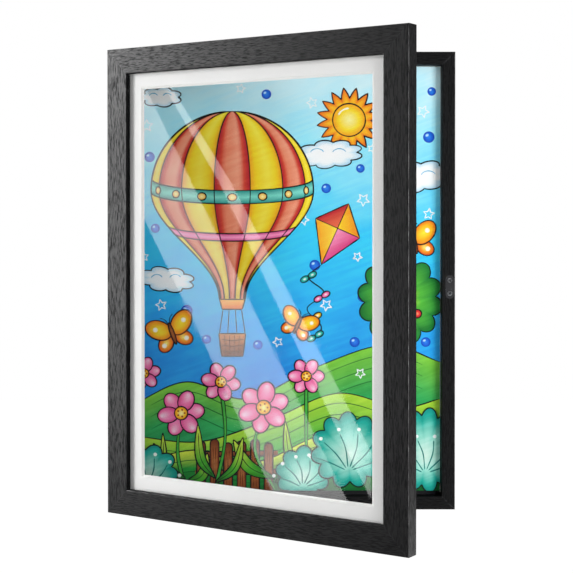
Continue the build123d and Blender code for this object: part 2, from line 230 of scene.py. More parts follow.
def plated(tree, light, dark, roughness, marks):
    """Bright plated steel.

    The eye gets a cool metal whose tone wanders a little from patch to patch, with fine rolling and
    handling marks, some duller than others, and painted shade, near black, in its recesses and round
    its foot. Zinc is bluish and nickel slightly warm.
    """
    here = add(tree, "TexCoord", output="Object")
    patches = add(tree, "TexNoise", {"Vector": here, "Scale": 1 / (2.4 * MM), "Detail": 4.0})
    along = add(tree, "Mapping", {"Vector": here, "Scale": marks}, **inverse)
    lines = add(tree, "TexNoise", {"Vector": along, "Scale": 1.0, "Detail": 3.0, "Roughness": 0.7})
    tone = add(tree, "MapRange", (patches, 0.35, 0.65), **smooth)
    # Painted shade: the metal goes near black where ambient occlusion finds it hemmed in, in recesses and
    # round its foot.
    open_share = add(tree, "AmbientOcclusion", {"Distance": 0.9 * MM}, "AO", samples=8)
    recess_shade = add(tree, "MapRange", (open_share, 0.5, 0.95, 1.0, 0.0), **smooth)
    clean = add(tree, "Mix", (tone, dark, light), **in_colour)
    return add(tree, "BsdfPrincipled", {
        "Base Color": add(tree, "Mix", (recess_shade, clean, "#0e0e0f"), **in_colour),
        "Metallic": 1.0,
        "Roughness": add(tree, "MapRange", (lines, 0.3, 0.7, roughness, roughness + 0.2), **smooth),
        "Normal": add(tree, "Bump", {"Height": lines, "Strength": 0.35, "Distance": 0.03 * MM}),
    })


def black_lacquer(tree):
    """Pressed steel, lacquered a soft black.

    The eye gets a smooth semi-gloss black with a faint orange peel about 0.5 mm across, and small
    bare specks where screws and fingers have rubbed it.
    """
    here = add(tree, "TexCoord", output="Object")
    peel = add(tree, "TexNoise", {"Vector": here, "Scale": 1 / (0.5 * MM), "Detail": 1.0})
    specks = add(tree, "TexNoise", {"Vector": here, "Scale": 1 / (1.1 * MM), "Detail": 5.0})
    rubbed = add(tree, "MapRange", (specks, 0.66, 0.72), **smooth)
    return add(tree, "BsdfPrincipled", {
        "Base Color": add(tree, "Mix", (rubbed, "#2b2b2e", "#6b6d71"), **in_colour),
        "Roughness": add(tree, "MapRange", (peel, 0.3, 0.7, 0.38, 0.5), **smooth),
        "IOR": 1.5,
        "Coat Weight": 0.3,
        "Normal": add(tree, "Bump", {"Height": peel, "Strength": 0.4, "Distance": 0.02 * MM}),
    })


def clear_acrylic(tree):
    """Cast acrylic sheet, flame polished.

    Light goes straight through, and each face mirrors the room as its Fresnel share says, with the
    same share from either side. Faint wiping marks, some tens of millimetres long, dull the mirror a
    little here and there.
    """
    acrylic_ior = 1.49
    spot = {"Vector": local(tree, door_lie), "Scale": (30 * MM, 30 * MM, 9 * MM)}
    along = add(tree, "Mapping", spot, **inverse)
    wipes = add(tree, "TexNoise", {"Vector": along, "Scale": 1.0, "Detail": 5.0})
    dulled = add(tree, "MapRange", (wipes, 0.45, 0.75, 0.01, 0.06), **smooth)
    clear = add(tree, "BsdfTransparent", {"Color": "#fefefe"})
    mirror = add(tree, "BsdfGlossy", {"Color": "#ffffff", "Roughness": dulled})
    inside = add(tree, "NewGeometry", output="Backfacing")
    ratio = add(tree, "MapRange", (inside, 0.0, 1.0, acrylic_ior, 1 / acrylic_ior))
    share = add(tree, "Fresnel", {"IOR": ratio})
    return add(tree, "MixShader", (share, clear, mirror))


def mat_board(tree):
    """White mat board, its window cut with a bevel.

    The eye gets a matt, faintly toothed face of an eggshell white, and in the bevel the brighter
    cotton core. The tooth of the paper is 0.4 mm across.
    """
    here = add(tree, "TexCoord", output="Object")
    square_to = add(tree, "TexCoord", output="Normal")
    tooth = add(tree, "TexNoise", {"Vector": here, "Scale": 1 / (0.4 * MM), "Detail": 3.0})
    cloud = add(tree, "TexNoise", {"Vector": here, "Scale": 1 / (33 * MM), "Detail": 2.0})
    face_on = add(tree, "VectorMath", (square_to, door_front), operation="DOT_PRODUCT")
    bevel = add(tree, "MapRange", (face_on, 0.8, 0.95, 1.0, 0.0), **smooth)
    face = add(tree, "Mix", (cloud, "#ebebea", "#f2f2f1"), **in_colour)
    return add(tree, "BsdfPrincipled", {
        "Base Color": add(tree, "Mix", (bevel, face, "#fafaf8"), **in_colour),
        "Roughness": 0.85,
        "Specular IOR Level": 0.3,
        "Normal": add(tree, "Bump", {"Height": tooth, "Strength": 0.25, "Distance": 0.05 * MM}),
    })


def hardboard(tree):
    """Hardboard, pressed from steamed wood fibre and stained dark.

    The eye gets a smooth matt brown-black, mottled by fibres 3 mm long and flecked with lighter
    ones.
    """
    here = add(tree, "TexCoord", output="Object")
    fibres = {"Vector": here, "Scale": 1 / (3 * MM), "Detail": 6.0, "Roughness": 0.7}
    mottle = add(tree, "TexNoise", fibres)
    flecks = add(tree, "TexVoronoi", {"Vector": here, "Scale": 1 / (1.6 * MM)})
    tone = add(tree, "MapRange", (mottle, 0.3, 0.7), **smooth)
    fleck = add(tree, "MapRange", (flecks, 0.05, 0.22, 0.4, 0.0), **smooth)
    ground = add(tree, "Mix", (tone, "#2a221d", "#463a32"), **in_colour)
    return add(tree, "BsdfPrincipled", {
        "Base Color": add(tree, "Mix", (fleck, ground, "#7c6a58"), **in_colour),
        "Roughness": 0.72,
        "Specular IOR Level": 0.35,
        "Normal": add(tree, "Bump", {"Height": mottle, "Strength": 0.4, "Distance": 0.08 * MM}),
    })


def stacked_paper(tree):
    """A stack of white drawing paper.

    The eye gets cool white faces with a fine tooth, and along the edges the sheets as thin darker
    lines, drawn 0.79 mm apart so that they show: a wave's lines are tau / (20 scale) apart. The stack's
    front face is near black: painted shade, seen as the dark gap under the drawing on show.
    """
    here = add(tree, "TexCoord", output="Object")
    facing = add(tree, "SeparateXYZ", (add(tree, "TexCoord", output="Normal"),), "Y")
    # Painted shade: the stack's front face is near black, standing for the shade in the gap under the
    # drawing on show.
    painted = add(tree, "MapRange", (facing, -0.9, -0.5, 1.0, 0.0))
    tooth = add(tree, "TexNoise", {"Vector": here, "Scale": 1 / (0.5 * MM), "Detail": 3.0})
    wave = {"Vector": here, "Scale": math.tau / (20 * 0.79 * MM), "Distortion": 0.6}
    sheets = add(tree, "TexWave", wave, "Fac", bands_direction="Y")
    gap = add(tree, "MapRange", (sheets, 0.0, 0.3, 0.5, 0.0), **smooth)
    edges = add(tree, "Mix", (gap, "#e6e5e0", "#aeaca4"), **in_colour)
    return add(tree, "BsdfPrincipled", {
        "Base Color": add(tree, "Mix", (painted, edges, "#15161a"), **in_colour),
        "Roughness": 0.9,
        "Normal": add(tree, "Bump", {"Height": tooth, "Strength": 0.2, "Distance": 0.04 * MM}),
    })


# The picture's paints, in marker pen and watercolour

sheet_low, sheet_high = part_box("drawing_on_show")
sheet_border = 0.15 * MM
# Height of a near-black band of painted shade along the sheet's foot, for the dark gap under the drawing;
# the paints stop above it.
foot_shade_height = 1.5 * MM


def washed(tree, here, colour):
    """A paint laid on by hand: pale and full strokes 2.5 mm wide run a little downhill across the
    sheet, and the pigment pools in soft clouds. Returns the colour and the paper's tooth."""
    downhill = add(tree, "Mapping", {"Vector": here, "Rotation": Euler((0, 0.35, 0))})
    along = add(tree, "Mapping", {"Vector": downhill, "Scale": (38 * MM, 38 * MM, 2.5 * MM)}, **inverse)
    strokes = add(tree, "TexNoise", {"Vector": along, "Scale": 1.0, "Detail": 3.0})
    pools = add(tree, "TexNoise", {"Vector": here, "Scale": 1 / (14 * MM), "Detail": 5.0})
    grain = add(tree, "TexNoise", {"Vector": here, "Scale": 1 / (0.5 * MM), "Detail": 3.0})
    pale = add(tree, "MapRange", (strokes, 0.35, 0.7, 0.0, 0.30), **smooth)
    full = add(tree, "MapRange", (pools, 0.4, 0.7, 0.0, 0.22), **smooth)
    streaked = add(tree, "Mix", (pale, colour, "#ffffff"), blend_type="SOFT_LIGHT", **in_colour)
    pooled = add(tree, "Mix", (full, streaked, "#505050"), blend_type="SOFT_LIGHT", **in_colour)
    return pooled, grain


def paper_shader(tree, colour, grain):
    """Coloured drawing paper: matt, with a fine tooth that the paint follows."""
    return add(tree, "BsdfPrincipled", {
        "Base Color": colour,
        "Roughness": add(tree, "MapRange", (grain, 0.3, 0.7, 0.5, 0.7), **smooth),
        "Specular IOR Level": 0.25,
        "Normal": add(tree, "Bump", {"Height": grain, "Strength": 0.2, "Distance": 0.04 * MM}),
    })


def painted_sheet(tree):
    """Drawing paper under a blue wash, pale at the top and deep at the bottom, on its front alone,
    with a near-black band of painted shade along its foot, for the dark gap under the drawing. Its back
    and edges stay white paper, and so does a thin margin at its sides and top."""
    here = add(tree, "TexCoord", output="Object")
    across, up = (add(tree, "SeparateXYZ", (here,), axis) for axis in "XZ")
    level = add(tree, "MapRange", (up, sheet_low.z, sheet_high.z))
    wander = add(tree, "TexNoise", {"Vector": here, "Scale": 1 / (40 * MM), "Detail": 4.0})
    drift = add(tree, "MapRange", (wander, 0.0, 1.0, -0.11, 0.11))
    uneven = add(tree, "Math", (level, drift), operation="ADD")
    blues = (
        (0.0, "#1466cc"), (0.22, "#1a82e2"), (0.42, "#2bb2f6"), (0.60, "#35cdfc"), (0.80, "#94eaff"),
        (1.0, "#d0f6ff"),
    )
    wash = add(tree, "ValToRGB", (uneven,), stops=blues)
    painted, grain = washed(tree, here, wash)
    from_middle = add(tree, "Math", (across,), operation="ABSOLUTE")
    to_side = add(tree, "Math", (sheet_high.x, from_middle), operation="SUBTRACT")
    to_top = add(tree, "Math", (sheet_high.z, up), operation="SUBTRACT")
    to_foot = add(tree, "Math", (up, sheet_low.z), operation="SUBTRACT")
    to_edge = add(tree, "Math", (to_side, to_top), operation="MINIMUM")
    within = add(tree, "MapRange", (to_edge, sheet_border * 0.7, sheet_border), **smooth)
    facing = add(tree, "SeparateXYZ", (add(tree, "TexCoord", output="Normal"),), "Y")
    shown = add(tree, "MapRange", (facing, -0.9, -0.5, within, 0.0))
    # Painted shade: the sheet goes near black along its foot, standing for the dark gap under the
    # drawing.
    ground = add(tree, "MapRange", (to_foot, foot_shade_height, foot_shade_height + 0.1 * MM, 1.0, 0.0), **smooth)
    with_foot_shade = add(tree, "Mix", (ground, painted, "#131418"), **in_colour)
    colour = add(tree, "Mix", (shown, "#f8faf9", with_foot_shade), **in_colour)
    return paper_shader(tree, colour, grain)


def marker_pen(tree):
    """Marker pen and pencil over the wash. The pigment of each patch and line is in the piece's own
    paint attribute, and shows the strokes that laid it on."""
    here = add(tree, "TexCoord", output="Object")
    colour, grain = washed(tree, here, add(tree, "Attribute", attribute_name="paint"))
    return paper_shader(tree, colour, grain)


# Drawing on the sheet. Places are in millimetres: u from the sheet's middle and v from its foot.

pen_width = 0.85
layer_height = 0.012 * MM
ink = "#141418"


def shades(stops, at):
    """Linear colours at shares of a run, between (share, colour) stops."""
    places, colours = zip(*stops)
    channels = np.array([linear(colour)[:3] for colour in colours]).T
    return np.column_stack([np.interp(at, places, channel) for channel in channels])


def ring(centre, wide, tall, turn=0.0, count=72):
    """An ellipse: centre + (wide cos a, tall sin a), turned by an angle in degrees."""
    angle = np.linspace(0, math.tau, count + 1)
    return spun(np.column_stack((wide * np.cos(angle), tall * np.sin(angle))), centre, turn)


def lobed(centre, wide, tall, lobes, depth, turn=0.0, count=240):
    """A scalloped ring: an ellipse whose radius is 1 - depth + depth |sin(lobes a / 2)|^0.8."""
    angle = np.linspace(0, math.tau, count + 1)
    radius = 1 - depth + depth * np.abs(np.sin(lobes * angle / 2)) ** 0.8
    return spun(ring((0, 0), wide, tall, count=count) * radius[:, None], centre, turn)


def spun(points, centre, turn):
    """Points about the origin, turned by an angle in degrees and moved to a centre."""
    cosine, sine = math.cos(math.radians(turn)), math.sin(math.radians(turn))
    return points @ np.array(((cosine, sine), (-sine, cosine))) + centre


def through(points, count=60):
    """A smooth curve through a few points: cubic pieces whose slopes are half the chord from the
    point before to the point after."""
    points = np.array(points, float)
    slopes = np.gradient(points, axis=0)
    at = np.linspace(0, len(points) - 1, count)
    first = np.minimum(at.astype(int), len(points) - 2)
    t = (at - first)[:, None]
    start, end = points[first], points[first + 1]
    return (
        (2 * t**3 - 3 * t**2 + 1) * start
        + (t**3 - 2 * t**2 + t) * slopes[first]
        + (3 * t**2 - 2 * t**3) * end
        + (t**3 - t**2) * slopes[first + 1]
    )


def sideways(path):
    """The unit vector square to a path at each of its points, to its left. A path that ends where it
    starts is taken round."""
    if np.allclose(path[0], path[-1]):
        steps = np.roll(path[:-1], -1, axis=0) - np.roll(path[:-1], 1, axis=0)
        steps = np.vstack((steps, steps[:1]))
    else:
        steps = np.gradient(path, axis=0)
    steps = steps / np.maximum(np.linalg.norm(steps, axis=1, keepdims=True), 1e-9)
    return np.column_stack((-steps[:, 1], steps[:, 0]))


class Motif:
    """Painted patches and pen lines, gathered into one piece that lies on the sheet. Its base is its
    lowest layer. Pieces that overlap have layers of their own."""

    def __init__(self, name, base):
        self.name, self.base = name, base
        self.points, self.faces, self.paint, self.count = [], [], [], 0

    def patch(self, near, far, across, along=None, layer=0, steps=12):
        """A patch between two curves, P(s, t) = (1 - s) near(t) + s far(t). Its colour goes by stops
        from the near curve to the far one, times the shade along them."""
        s = np.linspace(0, 1, steps + 1)
        rows, columns = len(s), len(near)
        flat = near[None] * (1 - s)[:, None, None] + far[None] * s[:, None, None]
        paint = np.repeat(shades(across, s)[:, None], columns, axis=1)
        if along:
            paint = paint * shades(along, np.linspace(0, 1, columns))[None]
        level = np.full((rows, columns, 1), self.base + layer)
        self.points.append(np.concatenate((flat, level), axis=2).reshape(-1, 3))
        self.paint.append(paint.reshape(-1, 3))
        corner = (np.arange(rows - 1)[:, None] * columns + np.arange(columns - 1)).ravel() + self.count
        self.faces.append(np.column_stack((corner, corner + 1, corner + columns + 1, corner + columns)))
        self.count += rows * columns
        return self

    def blob(self, rim, across, layer=0, centre=None):
        """A patch from a centre out to a closed rim."""
        middle = rim[:-1].mean(0) if centre is None else centre
        return self.patch(np.full((len(rim), 2), middle), rim, across, layer=layer)

    def line(self, path, width=pen_width, colour=ink, layer=1):
        """A pen line: its edges lie half its width to each side of the path. The width swells and
        thins by a sixth along the way, and an open line's ends taper."""
        share = np.linspace(0, 1, len(path))
        swell = 1 + np.sin(share * 9 + path[0, 0]) / 6
        if not np.allclose(path[0], path[-1]):
            swell = swell * np.clip(np.minimum(share, 1 - share) * 14 + 0.35, 0, 1)
        edge = sideways(path) * (width / 2 * swell)[:, None]
        return self.patch(path - edge, path + edge, [(0, colour)], layer=layer, steps=1)

    def outlined(self, rim, across, layer=0, centre=None):
        """A filled shape with its pen outline."""
        return self.blob(rim, across, layer, centre).line(rim, layer=layer + 1)

    def lay(self):
        """Make the piece: u is x, v is up from the sheet's foot, and each layer is a little nearer
        the viewer."""
        u, v, level = np.vstack(self.points).T
        place = np.column_stack((u * MM, sheet_low.y - level * layer_height, sheet_low.z + v * MM))
        piece = piece_of(self.name, place, np.vstack(self.faces).tolist(), marker_material)
        flat = np.vstack(self.paint)
        colours = np.column_stack((flat, np.ones(len(flat)))).astype(np.float32)
        paint = piece.data.color_attributes.new("paint", "FLOAT_COLOR", "POINT")
        paint.data.foreach_set("color", colours.ravel())
        trim_to_sheet(piece.data)
        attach(piece, "box")


def trim_to_sheet(mesh):
    """Cut a flat drawing off at the sheet's edges and above the band of painted shade at its foot, drop
    faces without area, and turn the others to the viewer."""
    work = bmesh.new()
    work.from_mesh(mesh)
    bmesh.ops.dissolve_degenerate(work, edges=work.edges, dist=1e-7)
    for corner, outward in ((sheet_low, -1), (sheet_high, 1)):
        for way in (Vector((outward, 0, 0)), Vector((0, 0, outward))):
            everything = [*work.verts, *work.edges, *work.faces]
            edge = corner - way * (foot_shade_height if way.z < 0 else sheet_border)
            bmesh.ops.bisect_plane(work, geom=everything, plane_co=edge, plane_no=way, clear_outer=True)
    work.normal_update()
    bmesh.ops.reverse_faces(work, faces=[face for face in work.faces if face.normal.y > 0])
    work.to_mesh(mesh)
    work.free()


def hills():
    """Three green hills, from the farthest to the nearest, with mown rows."""
    ridges = (
        [(-108, 62), (-70, 78), (-28, 66), (20, 88), (70, 104), (108, 92)],
        [(-108, 40), (-60, 36), (-10, 52), (36, 70), (80, 60), (108, 66)],
        [(-108, 20), (-64, 30), (-20, 22), (24, 40), (66, 36), (108, 28)],
    )
    motif = Motif("painted_hills", 1)
    colours = (
        [(0, "#0f6f5c"), (0.7, "#2aa352"), (1, "#7cc93c")],
        [(0, "#0c7a34"), (0.6, "#3fb03a"), (1, "#a9d83a")],
        [(0, "#0a5f2c"), (0.6, "#1f9436"), (1, "#d5e845")],
    )
    for layer, (ridge, stops) in enumerate(zip(ridges, colours)):
        top = through(ridge)
        foot = np.column_stack((top[:, 0], np.zeros(len(top))))
        motif.patch(foot, top, stops, layer=2 * layer)
        motif.line(top, layer=2 * layer + 1)
        for sink in (7, 15, 24):
            row = top[4:-4] - (0, sink)
            motif.line(row[row[:, 1] > 1], 0.5, "#0b5a2a", layer=2 * layer + 1)
    motif.lay()


def hot_air_balloon():
    """A balloon of seven gores. At a share t down its height its half width is
    r = R sqrt(1 - ((t - 0.42) / 0.42)^2) above the belly and
    r = m + (R - m) (1 + cos(pi (t - 0.42) / 0.58)) / 2 below it, and a seam at longitude a lies r sin a
    to the side."""
    middle, crown, tall, half, mouth, belly = -38.0, 268.0, 132.0, 57.0, 9.0, 0.42
    t = (1 - np.cos(np.linspace(0, math.pi, 80))) / 2
    upper = half * np.sqrt(np.clip(1 - ((t - belly) / belly) ** 2, 0, 1))
    lower = mouth + (half - mouth) * (1 + np.cos(math.pi * (t - belly) / (1 - belly))) / 2
    radius = np.where(t < belly, upper, lower)

    def seam(longitude):
        return np.column_stack((middle + radius * math.sin(math.radians(longitude)), crown - tall * t))

    def parallel(share, longitude):
        """Round the balloon at one height, sagging by a seventh of its half width in the middle."""
        reach = np.interp(share, t, radius)
        height = crown - tall * share - reach / 7 * np.cos(longitude)
        return np.column_stack((middle + reach * np.sin(longitude), height))

    yellow = [(0, "#f6a01c"), (0.2, "#fbdf1e"), (0.55, "#fff04a"), (0.8, "#fbdf1e"), (1, "#f6a01c")]
    salmon = [
        (0, "#b3142c"), (0.16, "#d8412f"), (0.3, "#f08a68"), (0.7, "#f7a283"), (0.84, "#d8412f"),
        (1, "#b3142c"),
    ]
    shade = [(0, "#ffffff"), (0.5, "#fbf6f2"), (1, "#d8c8c2")]
    motif = Motif("painted_balloon", 8)
    longitudes = np.linspace(-90, 90, 8)
    for index, (west, east) in enumerate(zip(longitudes[:-1], longitudes[1:])):
        motif.patch(seam(west), seam(east), salmon if index % 2 else yellow, shade)
    half_turn = np.radians(np.linspace(-90, 90, 60))
    for top, foot, stops in (
        (0.36, 0.43, [(0, "#0c8f86"), (0.5, "#7fe0cf"), (1, "#0c8f86")]),
        (0.60, 0.645, [(0, "#d8347f"), (0.5, "#ff9ccb"), (1, "#d8347f")]),
    ):
        low, high = parallel(foot, half_turn), parallel(top, half_turn)
        motif.patch(low, high, stops, layer=1).line(high, layer=2).line(low, layer=2)
    for longitude in longitudes:
        motif.line(seam(longitude), pen_width * (1.3 if abs(longitude) > 89 else 0.9), layer=2)
    bead_row, bead_size = 0.395, 2.6
    beads = np.radians(np.linspace(-66, 66, 7))
    for spot, longitude in zip(parallel(bead_row, beads), beads):
        bead = ring(spot, bead_size * math.cos(longitude) + 0.6, bead_size)
        motif.outlined(bead, [(0, "#fff6a8"), (1, "#f9b21d")], layer=3)

    skirt_top, skirt_foot, basket_top, basket_foot = 136.0, 129.0, 112.0, 96.0
    skirt = [(-mouth, skirt_top), (mouth, skirt_top), (mouth - 2, skirt_foot), (2 - mouth, skirt_foot)]
    basket = [(-9.5, basket_top), (9.5, basket_top), (7.5, basket_foot), (-7.5, basket_foot)]
    for corners, stops in (
        (skirt, [(0, "#ffb347"), (1, "#e4671e")]),
        (basket, [(0, "#c98345"), (0.5, "#9a5526"), (1, "#6d3413")]),
    ):
        left_top, right_top, right_foot, left_foot = (np.array(c) + (middle, 0) for c in corners)
        top, foot = np.linspace(left_top, right_top, 12), np.linspace(left_foot, right_foot, 12)
        motif.patch(top, foot, stops, layer=1)
        left, right = np.linspace(left_top, left_foot, 12), np.linspace(right_top, right_foot, 12)
        for edge in (top, foot, left, right):
            motif.line(edge, layer=2)
    for reach_top, reach_foot in ((-6.5, -9.0), (-2.2, -3.2), (2.2, 3.2), (6.5, 9.0)):
        rope = np.linspace((middle + reach_top, skirt_foot), (middle + reach_foot, basket_top), 12)
        motif.line(rope, 0.6)
    for height in (100.0, 104.0, 108.0):
        cane = through([(middle - 8, height), (middle, height - 1), (middle + 8, height)], 24)
        motif.line(cane, 0.5, "#4e2208", 2)
    for reach in (-5.5, -2.0, 1.5, 5.0):
        cane = np.linspace((middle + reach, 111), (middle + reach * 0.85, 97), 12)
        motif.line(cane, 0.45, "#4e2208", 2)
    motif.lay()


def sun():
    """A sun with sixteen flames: a ring whose radius swings by a fifth, round a paler disc."""
    centre, reach = (44.0, 262.0), 19.0
    angle = np.linspace(0, math.tau, 321)
    flame = reach * (1 + 0.2 * np.arcsin(np.sin(16 * angle)) / (math.pi / 2))
    rim = spun(ring((0, 0), 1, 1, count=320) * flame[:, None], centre, 4)
    motif = Motif("painted_sun", 2)
    motif.outlined(rim, [(0, "#ffe22e"), (0.7, "#fdb21c"), (1, "#ee5a1e")])
    motif.outlined(ring(centre, 11.5, 11.5), [(0, "#fff7a0"), (0.6, "#ffdf2b"), (1, "#f79a1b")], layer=1)
    gleam = spun(ring((0, 0), 8.2, 8.2)[12:26], centre, 30)
    motif.line(gleam, 1.1, "#fffbe0", layer=2)
    motif.lay()


def clouds():
    """White clouds with a blue shade at their rims and two curls inside."""
    places = (
        (30, 238, 24, 10, 9, 4), (-84, 150, 20, 9, 8, -6),
        (92, 222, 26, 11, 9, 8), (-88, 278, 15, 7, 7, 0),
    )
    for index, (u, v, wide, tall, lobes, turn) in enumerate(places):
        motif = Motif(f"painted_cloud_{index + 1}", 5)
        rim = lobed((u, v), wide, tall, lobes, 0.2, turn)
        motif.outlined(rim, [(0, "#ffffff"), (0.65, "#f7fdff"), (1, "#a9dcf4")])
        for side in (-0.35, 0.3):
            curl = ring((u + wide * side, v + tall * 0.05), wide * 0.2, tall * 0.34)[4:34]
            motif.line(curl, 0.6, "#5fb6dd", layer=1)
        motif.lay()


def kite():
    """A kite of four coloured quarters, with a wavy tail and bows."""
    centre, wide, high, low, turn = (36.0, 186.0), 17.0, 19.0, 28.0, -24.0
    corners = np.array(((0, high), (wide, 0), (0, -low), (-wide, 0)))
    top, right, foot, left = spun(corners, centre, turn)
    motif = Motif("painted_kite", 5)
    for first, second, stops in (
        (top, right, [(0, "#ffd92a"), (1, "#f79320")]),
        (right, foot, [(0, "#ff9cc4"), (1, "#dd3a80")]),
        (foot, left, [(0, "#ffe44a"), (1, "#f7a01e")]),
        (left, top, [(0, "#f2714a"), (1, "#b9182b")]),
    ):
        rim = np.linspace(first, second, 12)
        motif.patch(np.full((12, 2), centre), rim, stops)
        motif.line(rim, layer=1)
    motif.line(np.linspace(top, foot, 24), 0.6).line(np.linspace(left, right, 24), 0.6)
    sways = ((0, 0), (-9, -9), (2, -20), (-10, -31), (0, -44), (-8, -54))
    tail = through([foot + sway for sway in sways], 120)
    motif.line(tail, 0.8)
    for share, tint in ((0.2, "#19b5a5"), (0.45, "#f06aa6"), (0.7, "#fbc21d"), (0.93, "#19b5a5")):
        spot = tail[int(share * (len(tail) - 1))]
        for turn_side in (0, 180):
            wing = spun(ring((3.1, 0), 3.1, 2.0), (0, 0), turn_side + 30)
            motif.outlined(wing + spot, [(0, "#ffffff"), (0.5, tint)], layer=2)
    motif.lay()


def butterflies():
    """Butterflies in orange and yellow: two large and two small wings on a slim body."""
    places = ((-80, 112, 1.0, 20), (8, 118, 0.8, -24), (90, 176, 1.0, 12))
    for index, (u, v, size, turn) in enumerate(places):
        motif = Motif(f"painted_butterfly_{index + 1}", 13)
        for side in (-1, 1):
            for layer, reach, lift, wide, tall, tilt, stops in (
                (0, 6.6, -5.2, 6.6, 5.0, -42, [(0, "#fff27a"), (0.5, "#f99a24"), (1, "#d93a20")]),
                (2, 8.4, 5.4, 9.6, 6.6, 38, [(0, "#ffe838"), (0.55, "#fdc01e"), (1, "#ee6a1c")]),
            ):
                wing = ring((0, 0), wide, tall, tilt * side) + (reach * side, lift)
                motif.outlined(spun(wing * size, (u, v), turn), stops, layer)
                dot = ring((reach * side * 1.25, lift * 1.2), 1.7, 1.7)
                motif.blob(spun(dot * size, (u, v), turn), [(0, "#ffffff"), (1, "#fff3c4")], layer=4)
            feeler = through([(0.4 * side, 7), (2 * side, 11), (4.6 * side, 13)], 20)
            motif.line(spun(feeler * size, (u, v), turn), 0.5, layer=4)
        slim = spun(ring((0, 0), 1.5, 8.0) * size, (u, v), turn)
        motif.outlined(slim, [(0, "#b4632c"), (1, "#5c2a10")], layer=5)
        motif.lay()


def leaf(motif, root, tip, bow, width, layer):
    """A leaf from root to tip: its spine bows sideways, its half width is width sin(pi t)^0.8, and a
    vein runs up it."""
    root, tip = np.array(root, float), np.array(tip, float)
    middle = (root + tip) / 2 + bow
    spine = through([root, middle, tip], 40)
    edge = sideways(spine) * (width * np.sin(np.linspace(0, math.pi, 40)) ** 0.8)[:, None]
    light = [(0, "#0d6b2d"), (0.45, "#4db433"), (1, "#d8ea4c")]
    shade = [(0, "#d6e6c8"), (0.5, "#ffffff"), (1, "#c2dcb4")]
    motif.patch(spine - edge, spine + edge, shade, light, layer)
    motif.line(np.vstack((spine - edge, (spine + edge)[::-1])), layer=layer + 1)
    motif.line(spine[3:-5], 0.5, layer=layer + 1)


def flowers():
    """Pink flowers of six round petals on leafy stems, some large and some small."""
    heads = [
        (-74, 56, 15.5, 8), (-46, 78, 13.0, -10), (-16, 60, 17.0, 20), (14, 82, 12.0, 0),
        (-100, 84, 11.0, 12),
    ]
    for index, (u, v, size, turn) in enumerate(heads):
        motif = Motif(f"painted_flower_{index + 1}", 14 + index % 2 * 15)
        root = (u + turn * 0.4, 2)
        stem = through([root, (u - turn * 0.3, v * 0.5), (u, v)], 40)
        motif.line(stem, 2.6, ink, layer=0).line(stem, 1.5, "#3da63a", layer=1)
        leaf(motif, (root[0], 10), (u - size * 1.25, v * 0.62), (-4, -5), size * 0.26, 2)
        leaf(motif, (root[0], 7), (u + size * 1.2, v * 0.5), (4, -5), size * 0.24, 4)
        pink = [(0, "#ffd3e6"), (0.5, "#f986b8"), (1, "#e23a86")]
        for petal in range(6):
            angle = turn + 60 * petal
            rim = spun(ring((size * 0.6, 0), size * 0.47, size * 0.36), (u, v), angle)
            heart = spun((size * 0.9, 0), (u, v), angle)
            motif.outlined(rim, pink, layer=6 + 2 * (petal % 2), centre=heart)
        yolk = [(0, "#fff3a0"), (0.6, "#fdc722"), (1, "#ea7d1d")]
        motif.outlined(ring((u, v), size * 0.3, size * 0.3), yolk, layer=10)
        for seed in range(5):
            spot = spun((size * 0.16, 0), (u, v), 72 * seed)
            motif.blob(ring(spot, 0.7, 0.7, count=16), [(0, "#a8481a")], layer=12)
        motif.lay()


def bushes():
    """Scalloped bushes in teal, pale inside. Brush strokes fan from their feet to pale berries."""
    places = (
        (44, 30, 27, 27, 11, 10), (12, 14, 20, 19, 9, 30),
        (98, 30, 24, 30, 11, 0), (-98, 14, 22, 20, 9, 14),
    )
    teal = [(0, "#d9f4e8"), (0.45, "#8fdccb"), (0.8, "#1fb09f"), (1, "#078a7f")]
    for index, (u, v, wide, tall, lobes, turn) in enumerate(places):
        motif = Motif(f"painted_bush_{index + 1}", 47 - index % 2 * 4)
        rim = lobed((u, v), wide, tall, lobes, 0.2, turn)
        rim[:, 1] = np.maximum(rim[:, 1], 0.6)
        motif.outlined(rim, teal, centre=(u, max(v - 4, 6)))
        for angle in np.linspace(22, 158, 6):
            way = spun((1, 0), (0, 0), angle)
            foot = (u, max(v - tall * 0.55, 2))
            stroke = through([foot + way * 3, foot + way * wide * 0.6 + (1.5, 0), foot + way * wide], 24)
            motif.line(stroke, 0.8, "#0a7c74")
            berry = ring(foot + way * wide * 1.12, 1.3, 1.3, count=20)
            motif.blob(berry, [(0, "#ffffff"), (1, "#e9fff6")], layer=2)
        motif.lay()


def fence():
    """A brown picket fence: two rails behind round-topped pales, each with its grain drawn on."""
    motif = Motif("painted_fence", 10)
    for height in (12.0, 25.0):
        low = np.linspace((-64, height), (-6, height + 1), 20)
        motif.patch(low, low + (0, 3.6), [(0, "#5c2a12"), (1, "#a2592c")])
        motif.line(low).line(low + (0, 3.6))
    wood = [(0, "#c6814a"), (0.5, "#9b5428"), (1, "#6a3013")]
    for index, u in enumerate(np.arange(-60.0, -8.0, 9.5)):
        top = 36.0 + 1.5 * math.sin(index * 2.1)
        cap = ring((u, top - 3), 3.1, 3.4, count=40)[:21]
        pale = np.vstack((cap, [(u - 3.1, 1.0), (u + 3.1, 1.0)], cap[:1]))
        motif.outlined(pale, wood, layer=2, centre=(u, top / 2))
        for side in (-1.1, 0.9):
            vein = through([(u + side, 4), (u + side * 0.4, top * 0.5), (u + side, top - 5)], 24)
            motif.line(vein, 0.4, "#4b1f0a", 3)
    motif.lay()


